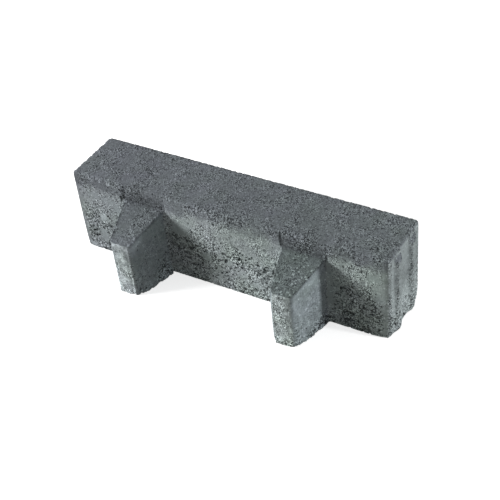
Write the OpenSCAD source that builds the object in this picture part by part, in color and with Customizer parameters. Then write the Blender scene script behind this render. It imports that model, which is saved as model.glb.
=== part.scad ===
// Grass-joint paving stone of pressed concrete: a straight bar that is walked on, with two tapered
// lugs on its front that hold the next row at a distance, so that soil and grass fill the gap.
// The front faces -Y, the bed face lies on Z = 0, and the origin is in the middle of the plan.

/* [Bar] */
// Length of the bar between its end faces, without the spacer ribs
bar_length = 294; // [250:1:400]
// Width of the bar from its front face to its back face
bar_width = 57; // [50:1:90]
// Laying height, from the bed face to the top face
bar_height = 80; // [74:1:120]
// Radius of the upright corners, as the mould forms them
corner_radius = 3; // [2.5:0.5:8]
// Radius of the arris around the top face
arris_radius = 2; // [0.5:0.5:2.5]

/* [Lugs] */
// Distance between the middles of the two lugs, half of the laying length of a row
lug_pitch = 150; // [80:1:190]
// How far the lugs stand out from the front face, which is the width of the grass joint
lug_reach = 40; // [25:1:60]
// Width of a lug where it leaves the front face
lug_root_width = 38; // [30:1:48]
// Width of a lug at its tip
lug_tip_width = 18; // [14:1:28]
// Height of a lug's sloping top at the front face
lug_root_height = 66; // [58:0.5:68]
// Height of a lug's sloping top at its tip
lug_tip_height = 54; // [35:0.5:57]
// Radius of the upright corners at a lug's tip
lug_tip_radius = 5; // [2:0.5:6]
// Radius of the fillet between a lug and the front face
lug_root_fillet = 2; // [1:0.5:4]

/* [Step above each lug] */
// How far the step is set back behind the front face
step_recess = 1; // [0.5:0.5:5]
// Bevel at the upper edge of the step
step_bevel = 1.5; // [0.5:0.5:3]
// Room between the side walls of the step and the root of the lug
step_side_room = 0.3; // [0.1:0.1:2]

/* [Spacer ribs] */
// Distance between the crowns of the two ribs on an end face
rib_spacing = 26; // [20:1:30]
// Width of a rib where it leaves the end face
rib_width = 13; // [9:1:18]
// How far a rib stands out from the end face
rib_proud = 3; // [1.5:0.5:4.5]
// Distance from the top face down to where a rib starts
rib_drop = 5; // [3:0.5:15]
// Fall of a rib's top from the end face to its crown
rib_fall = 4; // [1:0.5:10]

/* [Hidden] */
$fn = 64;
// Straight steps in each arc of an outline
arc_steps = 8;

// Length by which a cut runs past the faces that it opens
overrun = 2;
// The two sides that a symmetric pair stands on
sides = [-1, 1];

// Places of the faces, with the origin in the middle of the whole plan
back_y = (bar_width + lug_reach) / 2;
front_y = back_y - bar_width;
bar_middle_y = (back_y + front_y) / 2;
end_x = bar_length / 2;

// Taper of a lug's sides in plan, and fall of its top for each unit of reach
lug_taper = atan((lug_root_width - lug_tip_width) / 2 / lug_reach);
lug_slope = (lug_root_height - lug_tip_height) / lug_reach;
// How deep a lug's outline is rooted in the bar, to join it there
lug_embed = corner_radius;
// Half width of a lug's root with its two fillets, and of the step that is pressed above it
fillet_centre_x = lug_half_width(lug_root_fillet) + lug_root_fillet / cos(lug_taper);
step_half_width = fillet_centre_x + step_side_room;

// Radius of the round crown of a rib, from its chord and its height
rib_radius = (pow(rib_width / 2, 2) + pow(rib_proud, 2)) / (2 * rib_proud);
// How deep a rib is rooted in the bar, to join it there
rib_embed = rib_proud;

// Half width of a lug's straight sides at a distance in front of the bar
function lug_half_width(distance) = lug_root_width / 2 - distance * tan(lug_taper);

// Points along an arc around a centre, from one angle to another
function arc(centre, radius, from, to) = [
    for (step = [0 : arc_steps])
        let (angle = from + (to - from) * step / arc_steps)
            centre + radius * [cos(angle), sin(angle)]
];

// What an arris takes off a square edge, with the edge at the origin and the solid on its negative side
module arris_waste() {
    translate([-arris_radius, -arris_radius])
        difference() {
            square(arris_radius + overrun);
            circle(arris_radius);
        }
}

// Plan of the bar: a rectangle with round corners
module bar_outline() {
    square([bar_length, bar_width - 2 * corner_radius], center = true);
    square([bar_length - 2 * corner_radius, bar_width], center = true);
    for (side_x = sides, side_y = sides)
        translate([side_x * (end_x - corner_radius), side_y * (bar_width / 2 - corner_radius)])
            circle(corner_radius);
}

// The arris swept once around the top of the bar: four straight runs and four round corners
module top_arris() {
    run_x = bar_length - 2 * corner_radius;
    run_y = bar_width - 2 * corner_radius;
    for (turn = [0, 180]) {
        rotate(turn)
            translate([run_x / 2, bar_width / 2])
                rotate([90, 0, -90])
                    linear_extrude(run_x)
                        mirror([1, 0])
                            arris_waste();
        rotate(turn)
            translate([end_x, run_y / 2])
                rotate([90, 0, 0])
                    linear_extrude(run_y)
                        arris_waste();
    }
    for (side_x = sides, side_y = sides)
        translate([side_x * run_x / 2, side_y * run_y / 2])
            rotate(atan2(side_y, side_x) - 45)
                rotate_extrude(angle = 90)
                    translate([corner_radius, 0])
                        arris_waste();
}

// The bar, with its top edges rounded off
module bar() {
    translate([0, bar_middle_y])
        difference() {
            linear_extrude(bar_height)
                bar_outline();
            translate([0, 0, bar_height])
                top_arris();
        }
}

// Plan of a lug, with the front face on the X axis: root fillets, tapered sides and round tip corners
module lug_outline() {
    tip_centre_y = lug_tip_radius - lug_reach;
    tip_centre_x = lug_half_width(-tip_centre_y) - lug_tip_radius / cos(lug_taper);
    right_side = concat(
        [[fillet_centre_x, lug_embed]],
        arc([fillet_centre_x, -lug_root_fillet], lug_root_fillet, 90, 180 - lug_taper),
        arc([tip_centre_x, tip_centre_y], lug_tip_radius, -lug_taper, -90)
    );
    left_side = [for (index = [len(right_side) - 1 : -1 : 0]) [-right_side[index].x, right_side[index].y]];
    polygon(concat(right_side, left_side));
}

// A lug before its top is pressed down, standing on the bed face
module lug_blank() {
    linear_extrude(bar_height - arris_radius)
        lug_outline();
}

// What the foot of the press takes off above a lug: the sloping top of the lug, and a step in the bar
module step_cut() {
    foot_front = lug_reach + overrun;
    rotate([90, 0, 90])
        translate([0, 0, -step_half_width])
            linear_extrude(2 * step_half_width)
                polygon([
                    [step_recess, lug_root_height + step_recess * lug_slope],
                    [step_recess, bar_height - step_bevel],
                    [step_recess + step_bevel + overrun, bar_height + overrun],
                    [-foot_front, bar_height + overrun],
                    [-foot_front, lug_root_height - foot_front * lug_slope]
                ]);
}

// One spacer rib on the end face at X = 0: the crown of an upright cylinder, with its top sloped off
module rib() {
    rib_front = rib_proud + overrun;
    rib_top = bar_height - rib_drop;
    intersection() {
        linear_extrude(bar_height)
            translate([rib_proud - rib_radius, 0])
                circle(rib_radius);
        rotate([90, 0, 0])
            translate([0, 0, -rib_width])
                linear_extrude(2 * rib_width)
                    polygon([
                        [-rib_embed, 0],
                        [rib_front, 0],
                        [rib_front, rib_top - rib_front * rib_fall / rib_proud],
                        [0, rib_top],
                        [-rib_embed, rib_top]
                    ]);
    }
}

// The whole stone, pressed in one piece
module paving_stone() {
    color([0.44, 0.47, 0.48])
        difference() {
            union() {
                bar();
                for (side = sides)
                    translate([side * lug_pitch / 2, front_y])
                        lug_blank();
                for (side_x = sides, side_y = sides)
                    translate([side_x * end_x, bar_middle_y + side_y * rib_spacing / 2])
                        rotate(side_x > 0 ? 0 : 180)
                            rib();
            }
            for (side = sides)
                translate([side * lug_pitch / 2, front_y])
                    step_cut();
        }
}

paving_stone();
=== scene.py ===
"""A grass-joint paving stone of pressed concrete, dressed over its solid.

The solid is remeshed finely, its edges are worn, and the grain, pits and honeycombing of the concrete
are pressed into it zone by zone. The same zones colour it: a dark, fine face mix on top, lighter and
coarser core concrete below, and smooth slurry where the mould was drawn past the ends and lugs.
Shade and light are also painted into the colour in places: in the pits and pinholes, on the steps
and in their creases, on the lugs' sides, and where the lugs shade the front.
The stone's sizes are in millimetres. The floor, the lamps and the camera are placed in metres.
"""
import math

import bpy
import numpy as np
from mathutils import Matrix, Vector, noise


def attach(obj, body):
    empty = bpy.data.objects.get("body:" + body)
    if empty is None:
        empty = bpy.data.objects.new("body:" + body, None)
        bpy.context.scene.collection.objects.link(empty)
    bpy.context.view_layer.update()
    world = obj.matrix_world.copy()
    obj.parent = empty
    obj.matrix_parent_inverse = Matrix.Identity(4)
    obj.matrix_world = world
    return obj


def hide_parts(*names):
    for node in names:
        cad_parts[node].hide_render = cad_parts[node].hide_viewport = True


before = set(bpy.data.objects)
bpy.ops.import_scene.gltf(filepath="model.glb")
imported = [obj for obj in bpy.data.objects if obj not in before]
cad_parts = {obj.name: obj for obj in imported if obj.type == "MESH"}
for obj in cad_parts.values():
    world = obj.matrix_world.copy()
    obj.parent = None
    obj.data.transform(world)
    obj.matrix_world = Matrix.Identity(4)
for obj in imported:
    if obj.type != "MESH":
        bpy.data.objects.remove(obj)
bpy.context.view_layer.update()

NODE = "paving_stone"
MM = 0.001

# Driving sizes of the stone, as in the solid
BAR_LENGTH = 294.0
BAR_WIDTH = 57.0
HEIGHT = 80.0
LUG_PITCH = 150.0
LUG_REACH = 40.0
LUG_ROOT_WIDTH = 38.0
LUG_TIP_WIDTH = 18.0
LUG_ROOT_HEIGHT = 66.0
LUG_TIP_HEIGHT = 54.0
STEP_HALF_WIDTH = 20.9
STEP_RECESS = 1.0
RIB_SPACING = 26.0
RIB_WIDTH = 13.0
# How far inside a rib's outline the rough line at its foot lies
RIB_FOOT_INSET = 2.7

# Places and slopes that follow from them
BACK_Y = (BAR_WIDTH + LUG_REACH) / 2
FRONT_Y = BACK_Y - BAR_WIDTH
END_X = BAR_LENGTH / 2
LUG_X = LUG_PITCH / 2
LUG_SLOPE = (LUG_ROOT_HEIGHT - LUG_TIP_HEIGHT) / LUG_REACH
LUG_TAPER = (LUG_ROOT_WIDTH - LUG_TIP_WIDTH) / 2 / LUG_REACH
RIB_MIDDLES_Y = tuple((FRONT_Y + BACK_Y + side * RIB_SPACING) / 2 for side in (-1, 1))
RIB_FOOT = RIB_WIDTH / 2 - RIB_FOOT_INSET

# Heights at which a zone starts, and at which it is whole
HEIGHTS = {
    "step": (LUG_ROOT_HEIGHT - 1.5, LUG_ROOT_HEIGHT - 0.5),
    "brow": (HEIGHT - 4.0, HEIGHT - 2.0),
    "lug_root": (LUG_ROOT_HEIGHT + 3.0, LUG_ROOT_HEIGHT + 1.0),
    "rim": (HEIGHT - 3.5, HEIGHT - 1.5),
    "foot": (3.5, 0.8),
    "tip_top": (LUG_TIP_HEIGHT - 10.0, LUG_TIP_HEIGHT - 3.0),
    "step_top": (HEIGHT - 6.0, HEIGHT - 3.0),
    "worn_feet": (16.0, 2.0),
    "coarse": (54.0, 40.0),
    "slick_lug_sides": (0.0, 18.0),
    "slick_ends": (14.0, 28.0),
    "slick_tip_band": (10.0, 22.0),
    "flare": (9.0, 1.0),
    "left_flank": (58.0, 40.0),
    "lean": (45.0, 3.0),
    "pale_tip": (40.0, 14.0),
    "shadowed_lug_side": (36.0, 48.0),
    "low_lug_side": (32.0, 14.0),
    "low_face": (52.0, 38.0),
    "low_end": (44.0, 24.0),
    "step_shade": (HEIGHT + 4.0, LUG_ROOT_HEIGHT + 5.0),
}
# Distances in front of the bar at which a zone starts, and at which it is whole
REACHES = {
    "lug": (0.0, 2.0),
    "step_front": (2.0, -0.5),
    "step_back": (-8.0, -5.0),
    "brow": (-6.0, -3.0),
    "lug_root": (4.0, 0.5),
    "tip_top": (LUG_REACH - 3.0, LUG_REACH - 1.0),
    "worn_tip": (LUG_REACH - 9.0, LUG_REACH - 3.0),
    "worn_left_corner": (-16.0, -4.0),
    "few_chips": (-4.0, 0.0),
    "rough_root": (30.0, 0.0),
    "fine_lug_top": (4.0, 14.0),
    "flare": (LUG_REACH - 6.0, LUG_REACH - 14.0),
    "lean": (24.0, 35.0),
    "bare_tip": (LUG_REACH - 3.5, LUG_REACH - 2.0),
    "dark_right_side": (4.0, 12.0),
    "lit_lug_side": (10.0, 30.0),
    "lit_right_side": (27.0, 34.0),
    "shadowed_left_side": (24.0, 33.0),
    "pale_end": (-10.5, -8.0),
    "round_shade": (-20.0, -10.0),
}
# Places along the bar at which a zone starts, and at which it is whole
PLACES = {
    "right": (0.0, LUG_X),
    "left": (0.0, -LUG_X),
    "far_left": (-LUG_X - 12.0, -LUG_X - 30.0),
    "right_lug": (0.0, 10.0),
    "left_lug": (0.0, -10.0),
    "tip_band": (LUG_X + 2.5, LUG_X + 4.5),
    "worn_right_end": (END_X - 16.0, END_X - 2.0),
    "worn_left_corner": (8.0 - END_X, 2.0 - END_X),
    "worn_right_tip": (LUG_X - 7.0, LUG_X + 5.0),
    "worn_left_tip": (-LUG_X, -LUG_X + 7.0),
    "fine_lug_top": (2.0 - LUG_X, -LUG_X - 5.0),
    "shaded_left_tip": (-LUG_X + 0.5, -LUG_X + 6.0),
    "dark_right_face": (LUG_X + 15.0, LUG_X + 30.0),
    "dark_left_face": (14.0 - END_X, 6.0 - END_X),
    "specks": (-LUG_X - 5.0, LUG_X),
}
# Distances from the edge or the middle of a zone at which it starts, and at which it is whole
MARGINS = {
    "end": (2.0, 0.3),
    "corner": (6.5, 5.0),
    "round_end": (4.0, 3.0),
    "round_side": (6.5, 4.0),
    "rim": (3.5, 1.5),
    "front": (3.0, 1.0),
    "flank": (3.0, 1.0),
    "rib_foot": (2.1, 0.8),
    "in_step": (-0.5, 0.5),
    "step_top": (0.5, 2.0),
    "step_foot": (1.5, 0.4),
    "on_edge": (0.05, 0.2),
    "below_top": (10.0, 4.0),
    "below_lug_top": (2.6, 1.2),
    "mix_dip": (14.0, 6.0),
    "dark_tip": (11.0, 6.0),
    "lug_shadow_foot": (16.0, 6.0),
}
# Distance in front of the bar from which a point's depth is measured from the lug's top
LUG_START = 0.5
# Height of the dark band on the right lug's tip
DARK_TIP_HEIGHT = 27.0
# How far to the right of a lug's middle the painted shadow on the foot of the front is darkest
LUG_SHADOW_OFFSET = 30.0

# Grid of the fine mesh, and the triangles that are kept of it
VOXEL = 0.62
TRIANGLES = 192000
# Turn between two triangles from which their edge is drawn sharp
SHARP_DEGREES = 25.0

# Rounds of smoothing for chipped edges, for the edges that the press leaves round, and for worn feet
CHIP_ROUNDS = 5
PRESS_ROUNDS = 14
FOOT_ROUNDS = 120

# Noise by name: the size of its features, its seed and its octaves
NOISE = {
    "chips": (5.0, 1, 3),
    "patches": (24.0, 2, 2),
    "sand": (1.3, 3, 2),
    "stones": (2.8, 4, 2),
    "open_joints": (7.0, 5, 2),
    "waves": (45.0, 8, 1),
    "mix_border": (12.0, 9, 3),
    "slurry": (11.0, 10, 1),
    "slurry_outline": (3.0, 10, 2),
    "clouds": (26.0, 11, 3),
    "streaks": (3.5, 12, 3),
    "stains": (18.0, 13, 2),
    "fine_nicks": (2.0, 14, 2),
    "bright_grains": (1.7, 15, 1),
    "blotches": (4.5, 16, 2),
    "crevices": (5.0, 17, 1),
    "hollows": (2.5, 18, 2),
    "flare": (9.0, 19, 2),
    "hole_outline": (3.0, 20, 2),
    "coarse_nicks": (5.0, 21, 3),
    "pale_outline": (3.0, 22, 2),
    "wide_blotches": (8.0, 24, 2),
    "dark_edges": (4.0, 25, 1),
    "grain_outline": (3.0, 26, 2),
    "flecks": (2.0, 27, 2),
}
# Stretch along x, y and z of the noise that differs by direction
EVEN = (1.0, 1.0, 1.0)
STRETCHES = {"hollows": (1.4, 1.4, 0.85), "streaks": (1.0, 1.0, 7.0), "flecks": (1.0, 1.0, 1.6)}
# Cells by name: their size and their seed
CELLS = {"stones": (6.5, 6), "pits": (2.2, 7)}
# How far each seed shifts the noise and the cells, and the scale that gives each cell its own chance
NOISE_SHIFT = (17.31, 5.77, 9.13)
CELL_SHIFT = (3.71, 11.3, 7.9)
CELL_CHANCE_SCALE = 37.7

# Where slurry has closed the front: the middle and the half size of each patch along x and z
SLURRY = (
    (-140, 3, 4, 3), (-125, 18, 4, 6), (-122, 39, 4, 4.5), (-112, 58, 8, 5), (-105, 52, 4, 5),
    (-127, 61, 6.5, 4), (-42, 50, 8, 5), (-18, 29, 5, 4), (4, 30, 4, 3), (16, 22, 4.5, 3),
    (27, 14, 6, 3), (95.5, 38, 4.5, 26), (134, 60, 6, 4), (138, 41, 6, 4))
# Pale spots on the front and on the right lug's tip, in the same form
PALE = ((-122, 39, 3.5, 4), (-140, 3, 3, 3), (71, 31, 3, 3.5), (70.5, 22, 2.5, 3))
# Pale grains at the front arris, in the same form
PALE_GRAINS = ((-129, 78, 1.3, 1.1), (-118.5, 78, 1.1, 1), (-109.5, 77.5, 1.6, 1.3))
# Large holes in the front, in the same form
HOLES = (
    (-98, 66, 1.5, 3), (-115, 30, 1.6, 1.2), (-114, 23, 1.3, 1.5), (-108, 35, 1.8, 1.2),
    (-47, 41, 1.4, 1.2), (-7, 67, 1.5, 1), (-1, 38, 2.2, 1.4), (1, 31, 1.4, 1.8), (14, 37, 1.2, 1.2),
    (24, 41, 1.2, 1), (32, 37, 1.2, 1.2), (103, 33, 3, 1))
# How ragged the outline of a patch is, as a share of its size, and the shares where it starts and is whole
RAGGED_SHARE = 0.3
PATCH_SHARES = (1.2, 0.8)

# How far the patches of the concrete shift the borders of the coarse and the smooth surfaces
COARSE_SHIFT = 9.0
SLICK_SHIFT = 8.0
SLICK_LUG_SHIFT = 14.0
# How high the sides of each lug are rough at its root, and how much higher they turn smooth on the right
LEFT_ROUGH_ROOT = 18.0
RIGHT_ROUGH_ROOT = 4.0
SLICK_RIGHT_RISE = 4.0
# Least grit, gape and share of pores in the zones that are never smooth
LEAST_TEXTURE = {
    "step": (0.75, 0.1, 0.4),
    "rib_foot": (0.7, 0.12, 0.6),
    "tip": (0.6, 0.1, 0.3),
    "down": (0.8, 0.4, 0.7),
}

# Height of the sand and of the stones, with what grit and gape add to it, and of the slow waves
SAND_HEIGHT = 0.02
GRITTY_SAND_HEIGHT = 0.16
STONE_HEIGHT = 0.05
GAPING_STONE_HEIGHT = 0.25
WAVE_HEIGHT = 0.2
# Depth of the crevices, voids, small pits and large holes, with what grit and gape add to small pits
CREVICE_DEPTH = 0.6
VOID_DEPTH = 1.1
PIT_DEPTH = 0.15
GRITTY_PIT_DEPTH = 0.25
GAPING_PIT_DEPTH = 0.3
HOLE_DEPTH = 1.1
DEEPEST_PIT = 1.4
# Depth of the nicks in the lugs' edges, in the arris and in the foot, and how much less at the lugs' feet
LUG_NICK = 0.4
ARRIS_NICK = 0.55
FOOT_NICK = 2.0
LUG_FOOT_NICK_LOSS = 1.1
# How far the lugs stand out at their flared feet, left flanks and tip corners, and as the left one leans
FLARE = 1.4
FLARE_UNEVENNESS = 0.6
LEFT_LUG_SWELL = 0.55
RIGHT_LUG_SWELL = 1.0
LEAN_LEAST = 0.4
LEAN_MORE = 0.9
TIP_CORNER_SWELL = 0.2

# Reflectance of the face mix on top and of the core concrete below it
FACE_MIX = np.array([0.152, 0.169, 0.181])
CORE = np.array([0.228, 0.258, 0.260])
# How deep the face mix reaches below the top of each zone, and how blurred its lower border is
MIX_DEPTHS = {"end": 1.0, "lug": 0.2, "bar": 10.5}
MIX_BLURS = {"end": 0.4, "lug": 0.2, "bar": 5.0}
# How much deeper it reaches far on the left, and at one place along the front
MIX_LEFT_DROP = 2.0
MIX_DIP = 4.0
MIX_DIP_X = -46.0
# How far red, green and blue depart from the grey, as shares of it
TINTS = {
    "stains": (0.022, -0.006, 0.04),
    "length": (-0.012, 0.008, -0.02),
    "lug_tops": (-0.035, 0.02, -0.04),
    "lug_sides": (-0.03, 0.0, 0.03),
    "right_lug_sides": (0.0, -0.015, 0.02),
    "ends": (0.0, -0.015, 0.025),
    "slurry": (-0.01, 0.0, 0.005),
}
# What pits and nicks of 1 mm take of the lightness, as shares: dirt and painted shade in the hollows
PIT_SHADE = 0.7
NICK_SHADE = 0.2
# Share of bright specks, and what the lugs' tops add to it
SPECKS = 0.2
LUG_TOP_SPECKS = 0.35

# Sizes of the finest grain, which the material draws
FINE_SAND = 0.75
MEDIUM_SAND = 1.9
SPECK = 1.25
PINHOLE = 2.2
RIPPLE = 1.1
SAND_CLUSTER = 14.0
# How far fine and medium sand, specks and pinholes change the lightness, and the darkest that is left; the
# pinholes' darkness is painted shade
FINE_CONTRAST = 2.5
MEDIUM_CONTRAST = 0.45
SPECK_GAIN = 2.6
PINHOLE_SHARE = 0.25
DARKEST_SHARE = 0.12
# Height and strength of the finest relief
BUMP_HEIGHT = 0.6
BUMP_STRENGTH = 0.9
# Sheen of the matt surface
ROUGHNESS = 0.9
SPECULAR = 0.1

# The floor: its half size, the white that is seen, the light added to it, and what it throws on the stone
FLOOR_HALF_SIZE = 4.0
FLOOR_WHITE = (0.9, 0.9, 0.9, 1.0)
FLOOR_LIFT = 0.65
FLOOR_BOUNCE = (0.22, 0.205, 0.185, 1.0)

# Place, size and power of each lamp, the point they are aimed at, and the strength of the sky
LAMPS = {
    "key": ((-1.274, -0.836, 0.491), 0.47, 31.0),
    "right": ((0.881, 0.108, 0.160), 0.07, 4.6),
}
LAMP_TARGET = Vector((0.0, 0.0, 0.04))
SKY_WHITE = (1.0, 1.0, 1.0, 1.0)
SKY_STRENGTH = 0.39

# The photograph's camera: its place, line of sight and tip about that line, and its lens and sensor in mm
CAMERA_PLACE = Vector((0.4126, -0.5801, 0.6243))
CAMERA_FORWARD = Vector((-0.4314, 0.6374, -0.6384))
CAMERA_TIP_DEGREES = -6.58
CAMERA_LENS = 80.73
CAMERA_SENSOR = 36.0


def ramp(value, low, high):
    """Smooth step from 0 at low to 1 at high, also where low is above high."""
    t = np.clip((value - low) / (high - low), 0.0, 1.0)
    return t * t * (3.0 - 2.0 * t)


def by_height(points, zone, raised=0.0):
    """Weight of a zone by height, 0 to 1, with the points raised by some amount."""
    return ramp(points[:, 2] + raised, *HEIGHTS[zone])


def by_reach(points, zone):
    """Weight of a zone by the distance in front of the bar, 0 to 1."""
    return ramp(FRONT_Y - points[:, 1], *REACHES[zone])


def by_place(points, zone):
    """Weight of a zone by the place along the bar, 0 to 1."""
    return ramp(points[:, 0], *PLACES[zone])


def by_margin(distance, zone):
    """Weight of a zone by the distance from its edge or middle, 0 to 1."""
    return ramp(distance, *MARGINS[zone])


def field(points, name):
    """Perlin noise by its name, about -1 to 1."""
    size, seed, octaves = NOISE[name]
    shift = Vector([seed * part for part in NOISE_SHIFT])
    scaled = points / (size * np.array(STRETCHES.get(name, EVEN)))
    if octaves == 1:
        return np.array([noise.noise(Vector(p) + shift) for p in scaled])
    return np.array([noise.fractal(Vector(p) + shift, 1.0, 2.0, octaves) for p in scaled])


def cells(points, name):
    """Distances to the two nearest cell middles in cell sizes, and a number from 0 to 1 for the nearest."""
    size, seed = CELLS[name]
    shift = Vector([seed * part for part in CELL_SHIFT])
    distances = np.empty((len(points), 2))
    chance = np.empty(len(points))
    for index, point in enumerate(points / size):
        near, places = noise.voronoi(Vector(point) + shift)
        distances[index] = near[:2]
        chance[index] = 0.5 + 0.5 * noise.cell(places[0] * CELL_CHANCE_SCALE)
    return distances[:, 0], distances[:, 1], chance


def marks(points, places, outline):
    """Weight from 0 to 1 of patches at the given places of the front, with the noise of their outline."""
    x, _, z = points.T
    ragged = RAGGED_SHARE * field(points, outline)
    apart = [np.hypot((x - middle_x) / half_x, (z - middle_z) / half_z)
             for middle_x, middle_z, half_x, half_z in places]
    return ramp(np.min(apart, axis=0) + ragged, *PATCH_SHARES)


def modified(mesh, name, kind, **values):
    """The mesh after one modifier with the given values."""
    block = bpy.data.objects.new("block", mesh)
    bpy.context.collection.objects.link(block)
    modifier = block.modifiers.new(name, kind)
    for key, value in values.items():
        setattr(modifier, key, value)
    graph = bpy.context.evaluated_depsgraph_get()
    result = bpy.data.meshes.new_from_object(block.evaluated_get(graph))
    bpy.data.objects.remove(block)
    return result


def fine_mesh():
    """The stone's solid as an even, closed mesh with a fine grid."""
    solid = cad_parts[NODE].data.copy()
    return modified(solid, "grid", "REMESH", mode="VOXEL", voxel_size=VOXEL * MM)


def thinned(mesh):
    """The mesh with its flattest triangles merged until few enough are left."""
    triangles = sum(len(face.vertices) - 2 for face in mesh.polygons)
    return modified(mesh, "thin", "DECIMATE", ratio=TRIANGLES / triangles)


def read_points(mesh):
    """Places of the mesh's points, and their normals."""
    count = len(mesh.vertices)
    places = np.empty(count * 3)
    mesh.vertices.foreach_get("co", places)
    normals = np.empty(count * 3)
    mesh.vertex_normals.foreach_get("vector", normals)
    return places.reshape(-1, 3) / MM, normals.reshape(-1, 3)


def read_edges(mesh):
    """The two points of each edge of the mesh."""
    edges = np.empty(len(mesh.edges) * 2, dtype=np.int32)
    mesh.edges.foreach_get("vertices", edges)
    return edges.reshape(-1, 2)


def write_points(mesh, points):
    """Moves the mesh's points, none of them below the bed face or above the top face."""
    points[:, 2] = np.clip(points[:, 2], 0.0, HEIGHT)
    mesh.vertices.foreach_set("co", (points * MM).ravel())
    mesh.update()


def smoothed(points, edges, rounds):
    """The points after each has moved to the middle of its neighbours, several times over."""
    count = len(points)
    ends = np.concatenate([edges[:, 0], edges[:, 1]])
    others = np.concatenate([edges[:, 1], edges[:, 0]])
    share = 1.0 / np.maximum(np.bincount(ends, minlength=count), 1)
    for _ in range(rounds):
        points = np.stack(
            [np.bincount(ends, points[others, axis], count) * share for axis in range(3)], axis=1)
    return points


def facings(points, normals):
    """Weights of the ways that the surface looks, and of the left and right parts of the stone."""
    up = ramp(normals[:, 2], 0.45, 0.8)
    down = ramp(-normals[:, 2], 0.5, 0.8)
    return {
        "up": up,
        "edge_up": ramp(normals[:, 2], 0.1, 0.4),
        "down": down,
        "side": 1.0 - np.maximum(up, down),
        "right": by_place(points, "right"),
        "left": by_place(points, "left"),
        "far_left": by_place(points, "far_left"),
    }


def lug_zones(points, normals, found):
    """Weights of the lugs, their tips, sides, left and right flanks and tip corners."""
    x, y, _ = points.T
    from_middle = x - np.sign(x) * LUG_X
    half_width = LUG_ROOT_WIDTH / 2 - LUG_TAPER * (FRONT_Y - y)
    lug = by_reach(points, "lug")
    upright = lug * found["side"]
    tip = upright * ramp(0.05 * found["left"] - normals[:, 1], 0.72, 0.9)
    return {
        "lug": lug,
        "tip": tip,
        "tip_band": upright * ramp(-normals[:, 1], 0.3, 0.6) * by_place(points, "tip_band"),
        "tip_corner": upright * ramp(-2.0 * normals[:, 0] * normals[:, 1], 0.3, 0.9),
        "lug_side": upright * (1.0 - tip),
        "lug_left": lug * by_margin(half_width + from_middle, "flank"),
        "lug_right": lug * by_margin(half_width - from_middle, "flank"),
    }


def inside_step(points):
    """Distance from each point to the side wall of the nearest step, positive between the walls."""
    return STEP_HALF_WIDTH - np.abs(np.abs(points[:, 0]) - LUG_X)


def step_zones(points, found):
    """Weights of the step above each lug, of its foot, and of the top faces just behind and before it."""
    _, y, z = points.T
    reach = FRONT_Y - y
    in_line = by_margin(inside_step(points), "in_step")
    at_step = in_line * by_reach(points, "step_front") * by_reach(points, "step_back")
    above_lug = z - LUG_ROOT_HEIGHT + LUG_SLOPE * reach
    behind_step = -reach - STEP_RECESS
    top = found["up"] * in_line
    return {
        "step": at_step * ramp(found["up"], 1.0, 0.6) * by_height(points, "step"),
        "step_foot": at_step * by_margin(np.hypot(above_lug, behind_step), "step_foot"),
        "brow": top * by_reach(points, "brow") * by_height(points, "brow"),
        "lug_root": top * by_reach(points, "lug_root") * by_height(points, "lug_root"),
    }


def bar_zones(points, found):
    """Weights of the bar's ends, faces, corners and edges."""
    x, y, _ = points.T
    from_end = END_X - np.abs(x)
    from_side = np.minimum(y - FRONT_Y, BACK_Y - y)
    from_rib = np.min([np.abs(y - middle) for middle in RIB_MIDDLES_Y], axis=0)
    off_lug = 1.0 - found["lug"]
    end = by_margin(from_end, "end") * found["side"]
    face = found["side"] * off_lug * (1.0 - end) * (1.0 - found["step"])
    at_corner = by_margin(from_end, "round_end") * by_margin(from_side, "round_side")
    at_rim = by_margin(np.minimum(from_end, from_side), "rim") * by_height(points, "rim")
    return {
        "end": end,
        "rib_foot": end * by_margin(np.abs(from_rib - RIB_FOOT), "rib_foot"),
        "face": face,
        "front": face * by_margin(y - FRONT_Y, "front"),
        "corner": face * by_margin(from_end, "corner"),
        "round": found["side"] * at_corner * off_lug,
        "rim": at_rim * off_lug,
        "foot": by_height(points, "foot") * found["side"],
    }


def depth_below_top(points):
    """Distance from each point up to the top of the bar or of the lug that it is on."""
    _, y, z = points.T
    reach = FRONT_Y - y
    top_height = np.where(reach > LUG_START, LUG_ROOT_HEIGHT - LUG_SLOPE * reach, HEIGHT)
    return np.maximum(top_height - z, 0.0)


def zones(points, normals):
    """Weights from 0 to 1 of the surfaces that differ in grain and colour, and the depth below the top."""
    found = facings(points, normals)
    found.update(lug_zones(points, normals, found))
    found.update(step_zones(points, found))
    found.update(bar_zones(points, found))
    found["depth"] = depth_below_top(points)
    return found


def pressed_edges(points):
    """Weight of the edges that the press leaves round: above the steps and around the tips' tops."""
    tip_top = by_reach(points, "tip_top") * by_height(points, "tip_top")
    step_top = by_margin(inside_step(points), "step_top") * by_reach(points, "step_back")
    step_top *= by_height(points, "step_top")
    return np.maximum(0.7 * tip_top, 0.85 * step_top)


def worn_feet(points):
    """Weight of the low places that are worn most: the right end, a corner on the left and the lugs' tips."""
    at_tip = by_reach(points, "worn_tip")
    right_end = 0.45 * by_place(points, "worn_right_end")
    left_corner = 0.2 * by_place(points, "worn_left_corner") * by_reach(points, "worn_left_corner")
    right_tip = (0.2 + 0.15 * by_place(points, "worn_right_tip")) * by_place(points, "right_lug") * at_tip
    left_tip = 0.45 * by_place(points, "left_lug") * by_place(points, "worn_left_tip") * at_tip
    return by_height(points, "worn_feet") * np.max([right_end, left_corner, right_tip, left_tip], axis=0)


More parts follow.
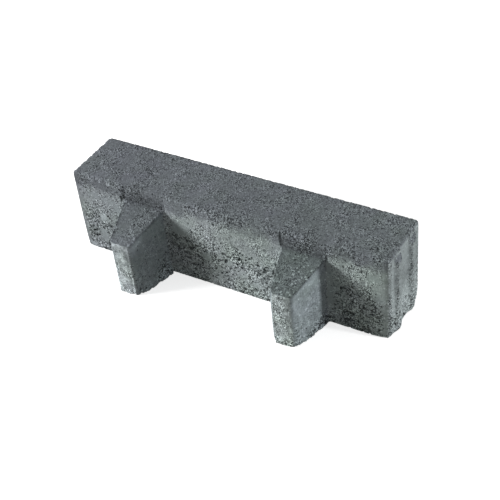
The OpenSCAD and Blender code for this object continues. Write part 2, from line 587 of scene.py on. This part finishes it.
def wear(points, edges):
    """Rounds the edges off unevenly, and tells how far each point lies on an edge, 0 to 1."""
    slightly = smoothed(points, edges, CHIP_ROUNDS)
    on_edge = by_margin(np.linalg.norm(slightly - points, axis=1), "on_edge")
    chips = ramp(field(points, "chips"), 0.0, 0.55)
    chips *= 0.7 - 0.5 * by_reach(points, "few_chips")
    worn = points + (slightly - points) * chips[:, None]
    worn += (smoothed(worn, edges, PRESS_ROUNDS) - worn) * pressed_edges(points)[:, None]
    worn += (smoothed(worn, edges, FOOT_ROUNDS) - worn) * worn_feet(points)[:, None]
    return worn, on_edge


def smeared(points, found, lower):
    """Where slurry has closed the lower surface, 0 to 1: at given places in front, by chance elsewhere."""
    by_chance = ramp(field(points, "slurry"), 0.25, 0.4) * lower * (found["face"] - found["front"])
    return np.maximum(by_chance, marks(points, SLURRY, "slurry_outline") * found["front"])


def slick_places(points, found, patches, smear):
    """Where the mould was drawn past the concrete or slurry closed it, and left it smooth, 0 to 1."""
    right = found["right"]
    rough_root = LEFT_ROUGH_ROOT + (RIGHT_ROUGH_ROOT - LEFT_ROUGH_ROOT) * right
    raised = SLICK_LUG_SHIFT * patches - SLICK_RIGHT_RISE * right
    raised -= rough_root * by_reach(points, "rough_root")
    lug_sides = found["lug_side"] * by_height(points, "slick_lug_sides", raised)
    ends = found["end"] * (1.0 - found["rib_foot"]) * (1.0 - found["round"])
    ends *= by_height(points, "slick_ends", SLICK_SHIFT * patches)
    tip_band = found["tip_band"] * by_height(points, "slick_tip_band", SLICK_SHIFT * patches)
    return np.max([lug_sides, found["corner"], ends, 1.1 * smear, tip_band], axis=0)


def textures(points, found):
    """How gritty the surface is, how far its honeycomb gapes, how porous it is and where slurry has
    smeared it, each 0 to 1."""
    far_left = found["far_left"]
    patches = field(points, "patches")
    lower = found["side"] * by_height(points, "coarse", COARSE_SHIFT * patches)
    smear = smeared(points, found, lower)
    slick = slick_places(points, found, patches, smear)

    grit = np.maximum(0.66, 0.9 * lower)
    grit = np.maximum(grit, 0.8 * found["face"] * by_margin(found["depth"], "below_top"))
    grit = np.where(found["up"] > 0.5, 0.55 - 0.08 * found["lug"], grit) * (1.0 - 0.78 * slick)
    fine_lug_top = found["up"] * by_place(points, "fine_lug_top") * by_reach(points, "fine_lug_top")
    grit *= 1.0 - 0.6 * fine_lug_top
    gape = lower * (0.55 + 0.6 * patches) * (1.0 - slick) * (1.0 - 0.15 * far_left)
    pores = np.maximum(0.3 + 0.3 * far_left, 0.9 * lower + 0.3 * patches)
    pores = np.maximum(pores * found["side"] * (1.0 - 0.8 * slick), 0.2 * found["up"])
    for zone, (least_grit, least_gape, least_pores) in LEAST_TEXTURE.items():
        weight = found[zone]
        grit = np.maximum(grit, least_grit * weight * (1.0 - 0.7 * found["tip_band"]))
        gape = np.maximum(gape * (1.0 - weight), least_gape * weight)
        pores = pores * (1.0 - weight) + least_pores * weight
    return np.clip(grit, 0.0, 1.0), np.clip(gape, 0.0, 1.0), np.clip(pores, 0.0, 1.0), smear


def pit_depths(points, found, grit, gape):
    """Depth of the open joints, voids, small pits and large holes between the grains."""
    open_joints = ramp(field(points, "open_joints") + 1.5 * (gape - 0.5), 0.0, 0.4)
    first, second, _ = cells(points, "stones")
    crevices = ramp(second - first, 0.16, 0.04) * open_joints * ramp(field(points, "crevices"), -0.1, 0.2)
    voids = ramp(field(points, "hollows"), 0.46 - 0.25 * gape, 0.64 - 0.25 * gape)
    voids *= np.clip(0.2 + 1.2 * gape, 0.0, 1.0)
    to_middle, _, chance = cells(points, "pits")
    small = ramp(to_middle, 0.42, 0.15) * (chance < 0.03 + 0.1 * grit + 0.15 * gape)
    small_depth = PIT_DEPTH + GRITTY_PIT_DEPTH * grit + GAPING_PIT_DEPTH * gape
    pits = CREVICE_DEPTH * crevices + VOID_DEPTH * voids + small_depth * small
    pits *= 1.0 - 0.75 * found["up"] * found["lug"]
    holes = HOLE_DEPTH * marks(points, HOLES, "hole_outline") * found["front"]
    return np.clip(np.maximum(pits, holes), 0.0, DEEPEST_PIT)


def nick_depths(points, found, on_edge):
    """Depth of the nicks in the lugs' edges, in the arris around the top and in the foot."""
    lug_edges = on_edge * found["lug"] * (1.0 - found["foot"])
    fine = np.maximum(LUG_NICK * lug_edges, ARRIS_NICK * found["rim"])
    fine *= ramp(field(points, "fine_nicks"), -0.15, 0.45)
    coarse = (FOOT_NICK - LUG_FOOT_NICK_LOSS * found["lug"]) * found["foot"]
    coarse *= ramp(field(points, "coarse_nicks"), -0.05, 0.55)
    return fine + coarse


def lug_swell(points, found):
    """How far the lugs of this stone stand out past the solid: flared feet and leaning sides."""
    flare = found["lug_side"] * by_height(points, "flare") * by_reach(points, "flare")
    swell = flare * (FLARE + FLARE_UNEVENNESS * field(points, "flare"))
    left_flanks = RIGHT_LUG_SWELL * found["right"] * by_height(points, "left_flank")
    left_flanks += LEFT_LUG_SWELL * found["left"]
    swell += found["lug_left"] * found["side"] * left_flanks
    lean = np.maximum(by_height(points, "lean"), by_reach(points, "lean"))
    swell += found["left"] * found["lug_right"] * found["side"] * (LEAN_LEAST + LEAN_MORE * lean)
    return swell + TIP_CORNER_SWELL * found["left"] * found["tip_corner"]


def grain_height(points, found, grit, gape):
    """Height of the sand and stone grains, and of the slow waves in the upright faces."""
    sand = (SAND_HEIGHT + GRITTY_SAND_HEIGHT * grit) * field(points, "sand")
    stones = (STONE_HEIGHT + GAPING_STONE_HEIGHT * gape) * grit * field(points, "stones")
    return sand + stones + WAVE_HEIGHT * field(points, "waves") * found["side"]


def by_part(found, amounts):
    """The amount for each point, by whether it is on an end, on a lug or elsewhere on the bar."""
    elsewhere = np.where(found["lug"] > 0.5, amounts["lug"], amounts["bar"])
    return np.where(found["end"] > 0.5, amounts["end"], elsewhere)


def face_mix_share(points, found):
    """How much of the face mix shows, 0 to 1: all of it on top, and a ragged band below the top edges."""
    blur = by_part(found, MIX_BLURS)
    border = by_part(found, MIX_DEPTHS)
    dip = by_margin(np.abs(points[:, 0] - MIX_DIP_X), "mix_dip")
    border += found["face"] * (MIX_LEFT_DROP * found["far_left"] + MIX_DIP * dip)
    ragged_depth = found["depth"] + blur * field(points, "mix_border")
    band = ramp(ragged_depth, border + blur, border - blur)
    return np.max([band, found["edge_up"] * (1.0 - by_reach(points, "bare_tip")), found["step"]], axis=0)


def lightness(points, found):
    """Lightness of the zones as a share of the plain concrete's, from the gain or loss of each, some painted
    light and shade.
    """
    x, _, z = points.T
    right, far_left = found["right"], found["far_left"]
    end, face, lug_side, tip = found["end"], found["face"], found["lug_side"], found["tip"]
    lug_top = found["up"] * found["lug"]
    left_tip = (1.0 - right) * tip
    right_tip = right * tip
    left_side = (1.0 - right) * lug_side
    right_side = right * lug_side
    low_side = lug_side * by_height(points, "low_lug_side")
    low = by_height(points, "low_face")
    from_lug_shadow = np.min([np.abs(x - side * LUG_X - LUG_SHADOW_OFFSET) for side in (-1.0, 1.0)], axis=0)
    gains = (
        (0.48, tip),
        (0.42, left_tip * (by_height(points, "pale_tip") - 0.45)),
        (0.12, left_tip),
        # painted shade on the left lug's tip, towards its right corner
        (-0.5, left_tip * by_place(points, "shaded_left_tip")),
        (0.12, right_tip),
        (-0.2, right_tip * by_margin(np.abs(z - DARK_TIP_HEIGHT), "dark_tip")),
        (-0.14, found["tip_band"]),
        # painted light: the lugs' sides lighter
        (0.1, lug_side),
        (-0.03, right_side * (1.0 + by_reach(points, "dark_right_side"))),
        # painted light on the lugs' sides, lighter towards their tips, away from the corner at the root
        (0.08, lug_side * by_reach(points, "lit_lug_side")),
        (0.08, right_side * by_reach(points, "lit_right_side")),
        # painted shadow on the upper outer part of the left lug's side
        (-0.25, left_side * by_reach(points, "shadowed_left_side") * by_height(points, "shadowed_lug_side")),
        (0.14, low_side),
        (-0.24, right * low_side),
        (0.065, found["up"]),
        (-0.1, lug_top),
        (-0.07, found["left"] * lug_top),
        (0.11, face),
        (-0.18, far_left * face),
        (-0.05, face * by_place(points, "dark_right_face")),
        (-0.07, face * by_place(points, "dark_left_face")),
        (0.17, low * face * (1.0 - far_left)),
        # painted shadow of each lug on the low front to its right
        (-0.2, low * found["front"] * by_margin(from_lug_shadow, "lug_shadow_foot")),
        (-0.06, found["corner"]),
        (-0.08, end),
        (0.3, end * by_height(points, "low_end")),
        (0.1, end * by_reach(points, "pale_end")),
        (-0.15, found["rib_foot"]),
    )
    return 1.0 + sum(gain * weight for gain, weight in gains)


def shading(points, found, on_edge, face_mix):
    """What the steps, the roots and the edges keep of their lightness, as a share, mostly through painted
    shade.
    """
    step_loss = 0.39 - 0.07 * points[:, 0] / LUG_X
    left_edges = on_edge * found["lug_left"] * found["edge_up"] * ramp(field(points, "dark_edges"), -0.3, 0.2)
    losses = (
        # painted shade on each step, darker towards its foot; the face mix on the faces is darker of itself
        step_loss * found["step"] * by_height(points, "step_shade") + 0.16 * face_mix * found["face"],
        # painted shade in the crease at each step's foot
        0.35 * found["step_foot"],
        # painted shade on the top just behind each step and on each lug's top at its root
        0.2 * found["brow"] + 0.32 * found["lug_root"],
        0.5 * left_edges,
        # painted shade on the front of the rounded end corners
        0.14 * found["round"] * by_reach(points, "round_shade"),
        # painted shadow just under the lugs' top edges
        0.35 * found["lug_side"] * by_margin(found["depth"], "below_lug_top"),
    )
    return np.prod([1.0 - loss for loss in losses], axis=0)


def mottling(points, found, on_edge):
    """Uneven lightness within the zones as a factor: pale spots, streaks, blotches and bright grains."""
    right, lug_side, tip, front = found["right"], found["lug_side"], found["tip"], found["front"]
    streaks = field(points, "streaks")
    blotches = field(points, "blotches")
    lug_edges = on_edge * found["lug"] * found["edge_up"]
    gains = (
        0.5 * (tip + front) * marks(points, PALE, "pale_outline"),
        1.5 * front * marks(points, PALE_GRAINS, "grain_outline"),
        0.08 * field(points, "clouds"),
        (found["end"] + lug_side) * (0.12 * streaks + (0.09 + 0.12 * right) * blotches),
        0.17 * right * lug_side * field(points, "wide_blotches"),
        tip * (0.15 * streaks + (0.4 - 0.1 * right) * blotches),
        0.5 * tip * field(points, "flecks"),
        lug_edges * (1.1 * ramp(field(points, "bright_grains"), 0.15, 0.35) - 0.25),
    )
    return np.prod([1.0 + gain for gain in gains], axis=0)


def tinting(points, found, smear):
    """How far red, green and blue of each point depart from its grey, as shares."""
    weights = {
        "stains": field(points, "stains") * (1.0 - 0.7 * found["end"]),
        "length": points[:, 0] / END_X,
        "lug_tops": found["lug"] * found["up"] * (0.3 + 0.7 * found["right"]),
        "lug_sides": found["lug_side"],
        "right_lug_sides": found["lug_side"] * found["right"],
        "ends": found["end"],
        "slurry": smear,
    }
    return sum(weights[name][:, None] * np.array(tint) for name, tint in TINTS.items())


def colours(points, found, on_edge, pits, nicks, smear):
    """Reflectance of the concrete at each point, before its finest grain, with painted light and shade in
    places.
    """
    face_mix = face_mix_share(points, found)
    level = lightness(points, found) * shading(points, found, on_edge, face_mix)
    level *= mottling(points, found, on_edge)
    # dirt and painted shade in the pits and nicks
    level *= 1.0 - PIT_SHADE * np.clip(pits, 0.0, 1.0) - NICK_SHADE * np.clip(nicks, 0.0, 1.0)
    shade = CORE + (FACE_MIX - CORE) * face_mix[:, None]
    return shade * level[:, None] * (1.0 + tinting(points, found, smear))


class Nodes:
    """Short ways to add nodes to a material or to the sky."""

    def __init__(self, tree):
        self.tree = tree

    def add(self, kind, **values):
        """A new node with the given settings."""
        made = self.tree.nodes.new(kind)
        for name, value in values.items():
            setattr(made, name, value)
        return made

    def link(self, source, target):
        """A link between two sockets."""
        self.tree.links.new(source, target)

    def ranged(self, socket, from_low, from_high, to_low, to_high):
        """The socket's value carried from one range to another, and held at its ends."""
        made = self.add("ShaderNodeMapRange")
        limits = {"From Min": from_low, "From Max": from_high, "To Min": to_low, "To Max": to_high}
        for name, value in limits.items():
            made.inputs[name].default_value = value
        self.link(socket, made.inputs["Value"])
        return made.outputs["Result"]

    def math(self, operation, *sockets):
        """The result of one operation on sockets and numbers."""
        made = self.add("ShaderNodeMath", operation=operation)
        for index, socket in enumerate(sockets):
            if isinstance(socket, float):
                made.inputs[index].default_value = socket
            else:
                self.link(socket, made.inputs[index])
        return made.outputs["Value"]

    def attribute(self, name):
        """The value that the mesh holds under a name."""
        return self.add("ShaderNodeAttribute", attribute_name=name).outputs["Fac"]

    def texture(self, kind, size, **values):
        """A texture on the stone's own coordinates, with features of the given size."""
        made = self.add(kind)
        made.inputs["Scale"].default_value = 1.0 / (size * MM)
        for name, value in values.items():
            made.inputs[name].default_value = value
        self.link(self.add("ShaderNodeTexCoord").outputs["Object"], made.inputs["Vector"])
        return made

    def clouds(self, size, detail):
        """Soft noise from 0 to 1 with features of the given size."""
        return self.texture("ShaderNodeTexNoise", size, Detail=detail).outputs["Fac"]

    def sand(self, size):
        """Grains that each have a lightness of their own, -0.5 to 0.5."""
        pattern = self.texture("ShaderNodeTexVoronoi", size)
        split = self.add("ShaderNodeSeparateColor")
        self.link(pattern.outputs["Color"], split.inputs["Color"])
        return self.math("SUBTRACT", split.outputs["Green"], 0.5)


def concrete_colour(nodes, gritty, pinholes):
    """The zone's reflectance, broken up by sand grains, bright specks and pinholes darkened with painted
    shade.
    """
    fine = nodes.math("MULTIPLY", nodes.sand(FINE_SAND), FINE_CONTRAST)
    medium = nodes.math("MULTIPLY", nodes.sand(MEDIUM_SAND), MEDIUM_CONTRAST)
    level = nodes.math("MULTIPLY_ADD", nodes.math("ADD", fine, medium), gritty, 1.0)
    bright = nodes.ranged(nodes.sand(SPECK), 0.45, 0.47, 0.0, SPECK_GAIN)
    level = nodes.math("MULTIPLY_ADD", bright, nodes.attribute("specks"), level)
    # painted shade in the pinholes
    level = nodes.math("MULTIPLY", level, nodes.ranged(pinholes, 0.0, 1.0, 1.0, PINHOLE_SHARE))
    level = nodes.math("MAXIMUM", level, DARKEST_SHARE)
    shade = nodes.add("ShaderNodeAttribute", attribute_name="shade").outputs["Color"]
    colour = nodes.add("ShaderNodeVectorMath", operation="SCALE")
    nodes.link(shade, colour.inputs["Vector"])
    nodes.link(level, colour.inputs["Scale"])
    return colour.outputs["Vector"]


def concrete_bump(nodes, gritty, pinholes):
    """The finest relief: ripples where the surface is gritty, and pinholes."""
    ripples = nodes.math("MULTIPLY", nodes.clouds(RIPPLE, 1.0), nodes.ranged(gritty, 0.0, 1.0, 0.3, 2.0))
    bump = nodes.add("ShaderNodeBump")
    bump.inputs["Distance"].default_value = BUMP_HEIGHT * MM
    bump.inputs["Strength"].default_value = BUMP_STRENGTH
    nodes.link(nodes.math("SUBTRACT", ripples, pinholes), bump.inputs["Height"])
    return bump.outputs["Normal"]


def concrete():
    """Matt concrete, with more or less grit and pores by zone."""
    material = bpy.data.materials.new("concrete")
    material.use_nodes = True
    nodes = Nodes(material.node_tree)
    shader = material.node_tree.nodes["Principled BSDF"]
    shader.inputs["Roughness"].default_value = ROUGHNESS
    shader.inputs["Specular IOR Level"].default_value = SPECULAR
    clusters = nodes.ranged(nodes.clouds(SAND_CLUSTER, 2.0), 0.4, 0.6, 0.42, 1.42)
    gritty = nodes.math("MULTIPLY", nodes.attribute("grit"), clusters)
    hollows = nodes.math("MULTIPLY_ADD", nodes.attribute("pores"), 0.13, nodes.clouds(PINHOLE, 1.0))
    pinholes = nodes.ranged(hollows, 0.72, 0.77, 0.0, 1.0)
    nodes.link(concrete_colour(nodes, gritty, pinholes), shader.inputs["Base Color"])
    nodes.link(concrete_bump(nodes, gritty, pinholes), shader.inputs["Normal"])
    return material


def dressed_mesh():
    """The worn, grainy surface of the stone, with its colour, grit, pores and specks at each point."""
    mesh = fine_mesh()
    points, normals = read_points(mesh)
    found = zones(points, normals)
    grit, gape, pores, smear = textures(points, found)
    worn, on_edge = wear(points, read_edges(mesh))
    pits = pit_depths(points, found, grit, gape)
    nicks = nick_depths(points, found, on_edge)
    height = grain_height(points, found, grit, gape) + lug_swell(points, found) - pits - nicks
    write_points(mesh, worn + normals * height[:, None])

    shade = np.ones((len(points), 4))
    shade[:, :3] = colours(points, found, on_edge, pits, nicks, smear)
    mesh.attributes.new("shade", "FLOAT_COLOR", "POINT").data.foreach_set("color", shade.ravel())
    specks = SPECKS + LUG_TOP_SPECKS * found["up"] * found["lug"] * by_place(points, "specks")
    for name, values in (("grit", grit), ("pores", pores), ("specks", specks)):
        mesh.attributes.new(name, "FLOAT", "POINT").data.foreach_set("value", values)

    mesh = thinned(mesh)
    write_points(mesh, read_points(mesh)[0])
    mesh.polygons.foreach_set("use_smooth", np.ones(len(mesh.polygons), dtype=bool))
    mesh.set_sharp_from_angle(angle=math.radians(SHARP_DEGREES))
    return mesh


def paving_stone():
    """The dressed stone, which stands for the plain solid."""
    mesh = dressed_mesh()
    mesh.name = "paving_stone_surface"
    mesh.materials.clear()
    mesh.materials.append(concrete())
    stone = bpy.data.objects.new("paving_stone_dressed", mesh)
    bpy.context.collection.objects.link(stone)
    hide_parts(NODE)
    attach(stone, "root")


def seen_white(nodes, plain, white):
    """Mixes two shaders: white for rays that see the background, and plain for those that light the stone."""
    path = nodes.add("ShaderNodeLightPath").outputs
    sight = nodes.math("MAXIMUM", path["Is Camera Ray"], path["Is Glossy Ray"])
    sight = nodes.math("MAXIMUM", sight, path["Is Transmission Ray"])
    mix = nodes.add("ShaderNodeMixShader")
    nodes.link(sight, mix.inputs["Fac"])
    nodes.link(plain, mix.inputs[1])
    nodes.link(white, mix.inputs[2])
    return mix.outputs["Shader"]


def floor_material():
    """White where it is seen, with the stone's shadow, and a dull grey in the light that it throws back."""
    material = bpy.data.materials.new("floor")
    material.use_nodes = True
    material.node_tree.nodes.clear()
    nodes = Nodes(material.node_tree)
    seen = nodes.add("ShaderNodeBsdfDiffuse")
    seen.inputs["Color"].default_value = FLOOR_WHITE
    lift = nodes.add("ShaderNodeEmission")
    lift.inputs["Strength"].default_value = FLOOR_LIFT
    white = nodes.add("ShaderNodeAddShader")
    nodes.link(seen.outputs["BSDF"], white.inputs[0])
    nodes.link(lift.outputs["Emission"], white.inputs[1])
    plain = nodes.add("ShaderNodeBsdfDiffuse")
    plain.inputs["Color"].default_value = FLOOR_BOUNCE
    shown = seen_white(nodes, plain.outputs["BSDF"], white.outputs["Shader"])
    nodes.link(shown, nodes.add("ShaderNodeOutputMaterial").inputs["Surface"])
    return material


def floor():
    """A plain white floor that keeps the stone's shadow."""
    corners = [(x * FLOOR_HALF_SIZE, y * FLOOR_HALF_SIZE, 0) for x, y in ((-1, -1), (1, -1), (1, 1), (-1, 1))]
    mesh = bpy.data.meshes.new("floor")
    mesh.from_pydata(corners, [], [(0, 1, 2, 3)])
    mesh.materials.append(floor_material())
    plane = bpy.data.objects.new("floor", mesh)
    bpy.context.collection.objects.link(plane)


def lamp(name, place, size, power):
    """A round lamp at the given place, aimed at the stone's middle."""
    data = bpy.data.lights.new(name, "AREA")
    data.shape = "DISK"
    data.size = size
    data.energy = power
    made = bpy.data.objects.new(name, data)
    made.location = place
    made.rotation_euler = (Vector(place) - LAMP_TARGET).to_track_quat("Z", "Y").to_euler()
    bpy.context.collection.objects.link(made)


def sky():
    """An even sky that is seen as plain white."""
    world = bpy.data.worlds.new("sky")
    bpy.context.scene.world = world
    world.use_nodes = True
    world.node_tree.nodes.clear()
    nodes = Nodes(world.node_tree)
    plain = nodes.add("ShaderNodeBackground")
    plain.inputs["Color"].default_value = SKY_WHITE
    plain.inputs["Strength"].default_value = SKY_STRENGTH
    white = nodes.add("ShaderNodeBackground")
    white.inputs["Color"].default_value = SKY_WHITE
    shown = seen_white(nodes, plain.outputs["Background"], white.outputs["Background"])
    nodes.link(shown, nodes.add("ShaderNodeOutputWorld").inputs["Surface"])


def light():
    """A soft key lamp from the front left, a small lamp along the bar from the right, and an even sky."""
    for name, (place, size, power) in LAMPS.items():
        lamp(name, place, size, power)
    sky()


def camera():
    """A camera at the photograph's angle, tipped about its line of sight as the photograph is."""
    data = bpy.data.cameras.new("camera")
    data.sensor_width = CAMERA_SENSOR
    data.lens = CAMERA_LENS
    made = bpy.data.objects.new("camera", data)
    turn = CAMERA_FORWARD.normalized().to_track_quat("-Z", "Y").to_matrix().to_4x4()
    tip = Matrix.Rotation(math.radians(CAMERA_TIP_DEGREES), 4, "Z")
    made.matrix_world = Matrix.Translation(CAMERA_PLACE) @ turn @ tip
    bpy.context.collection.objects.link(made)
    bpy.context.scene.camera = made


bpy.context.scene.view_settings.view_transform = "Standard"
camera()
paving_stone()
floor()
light()
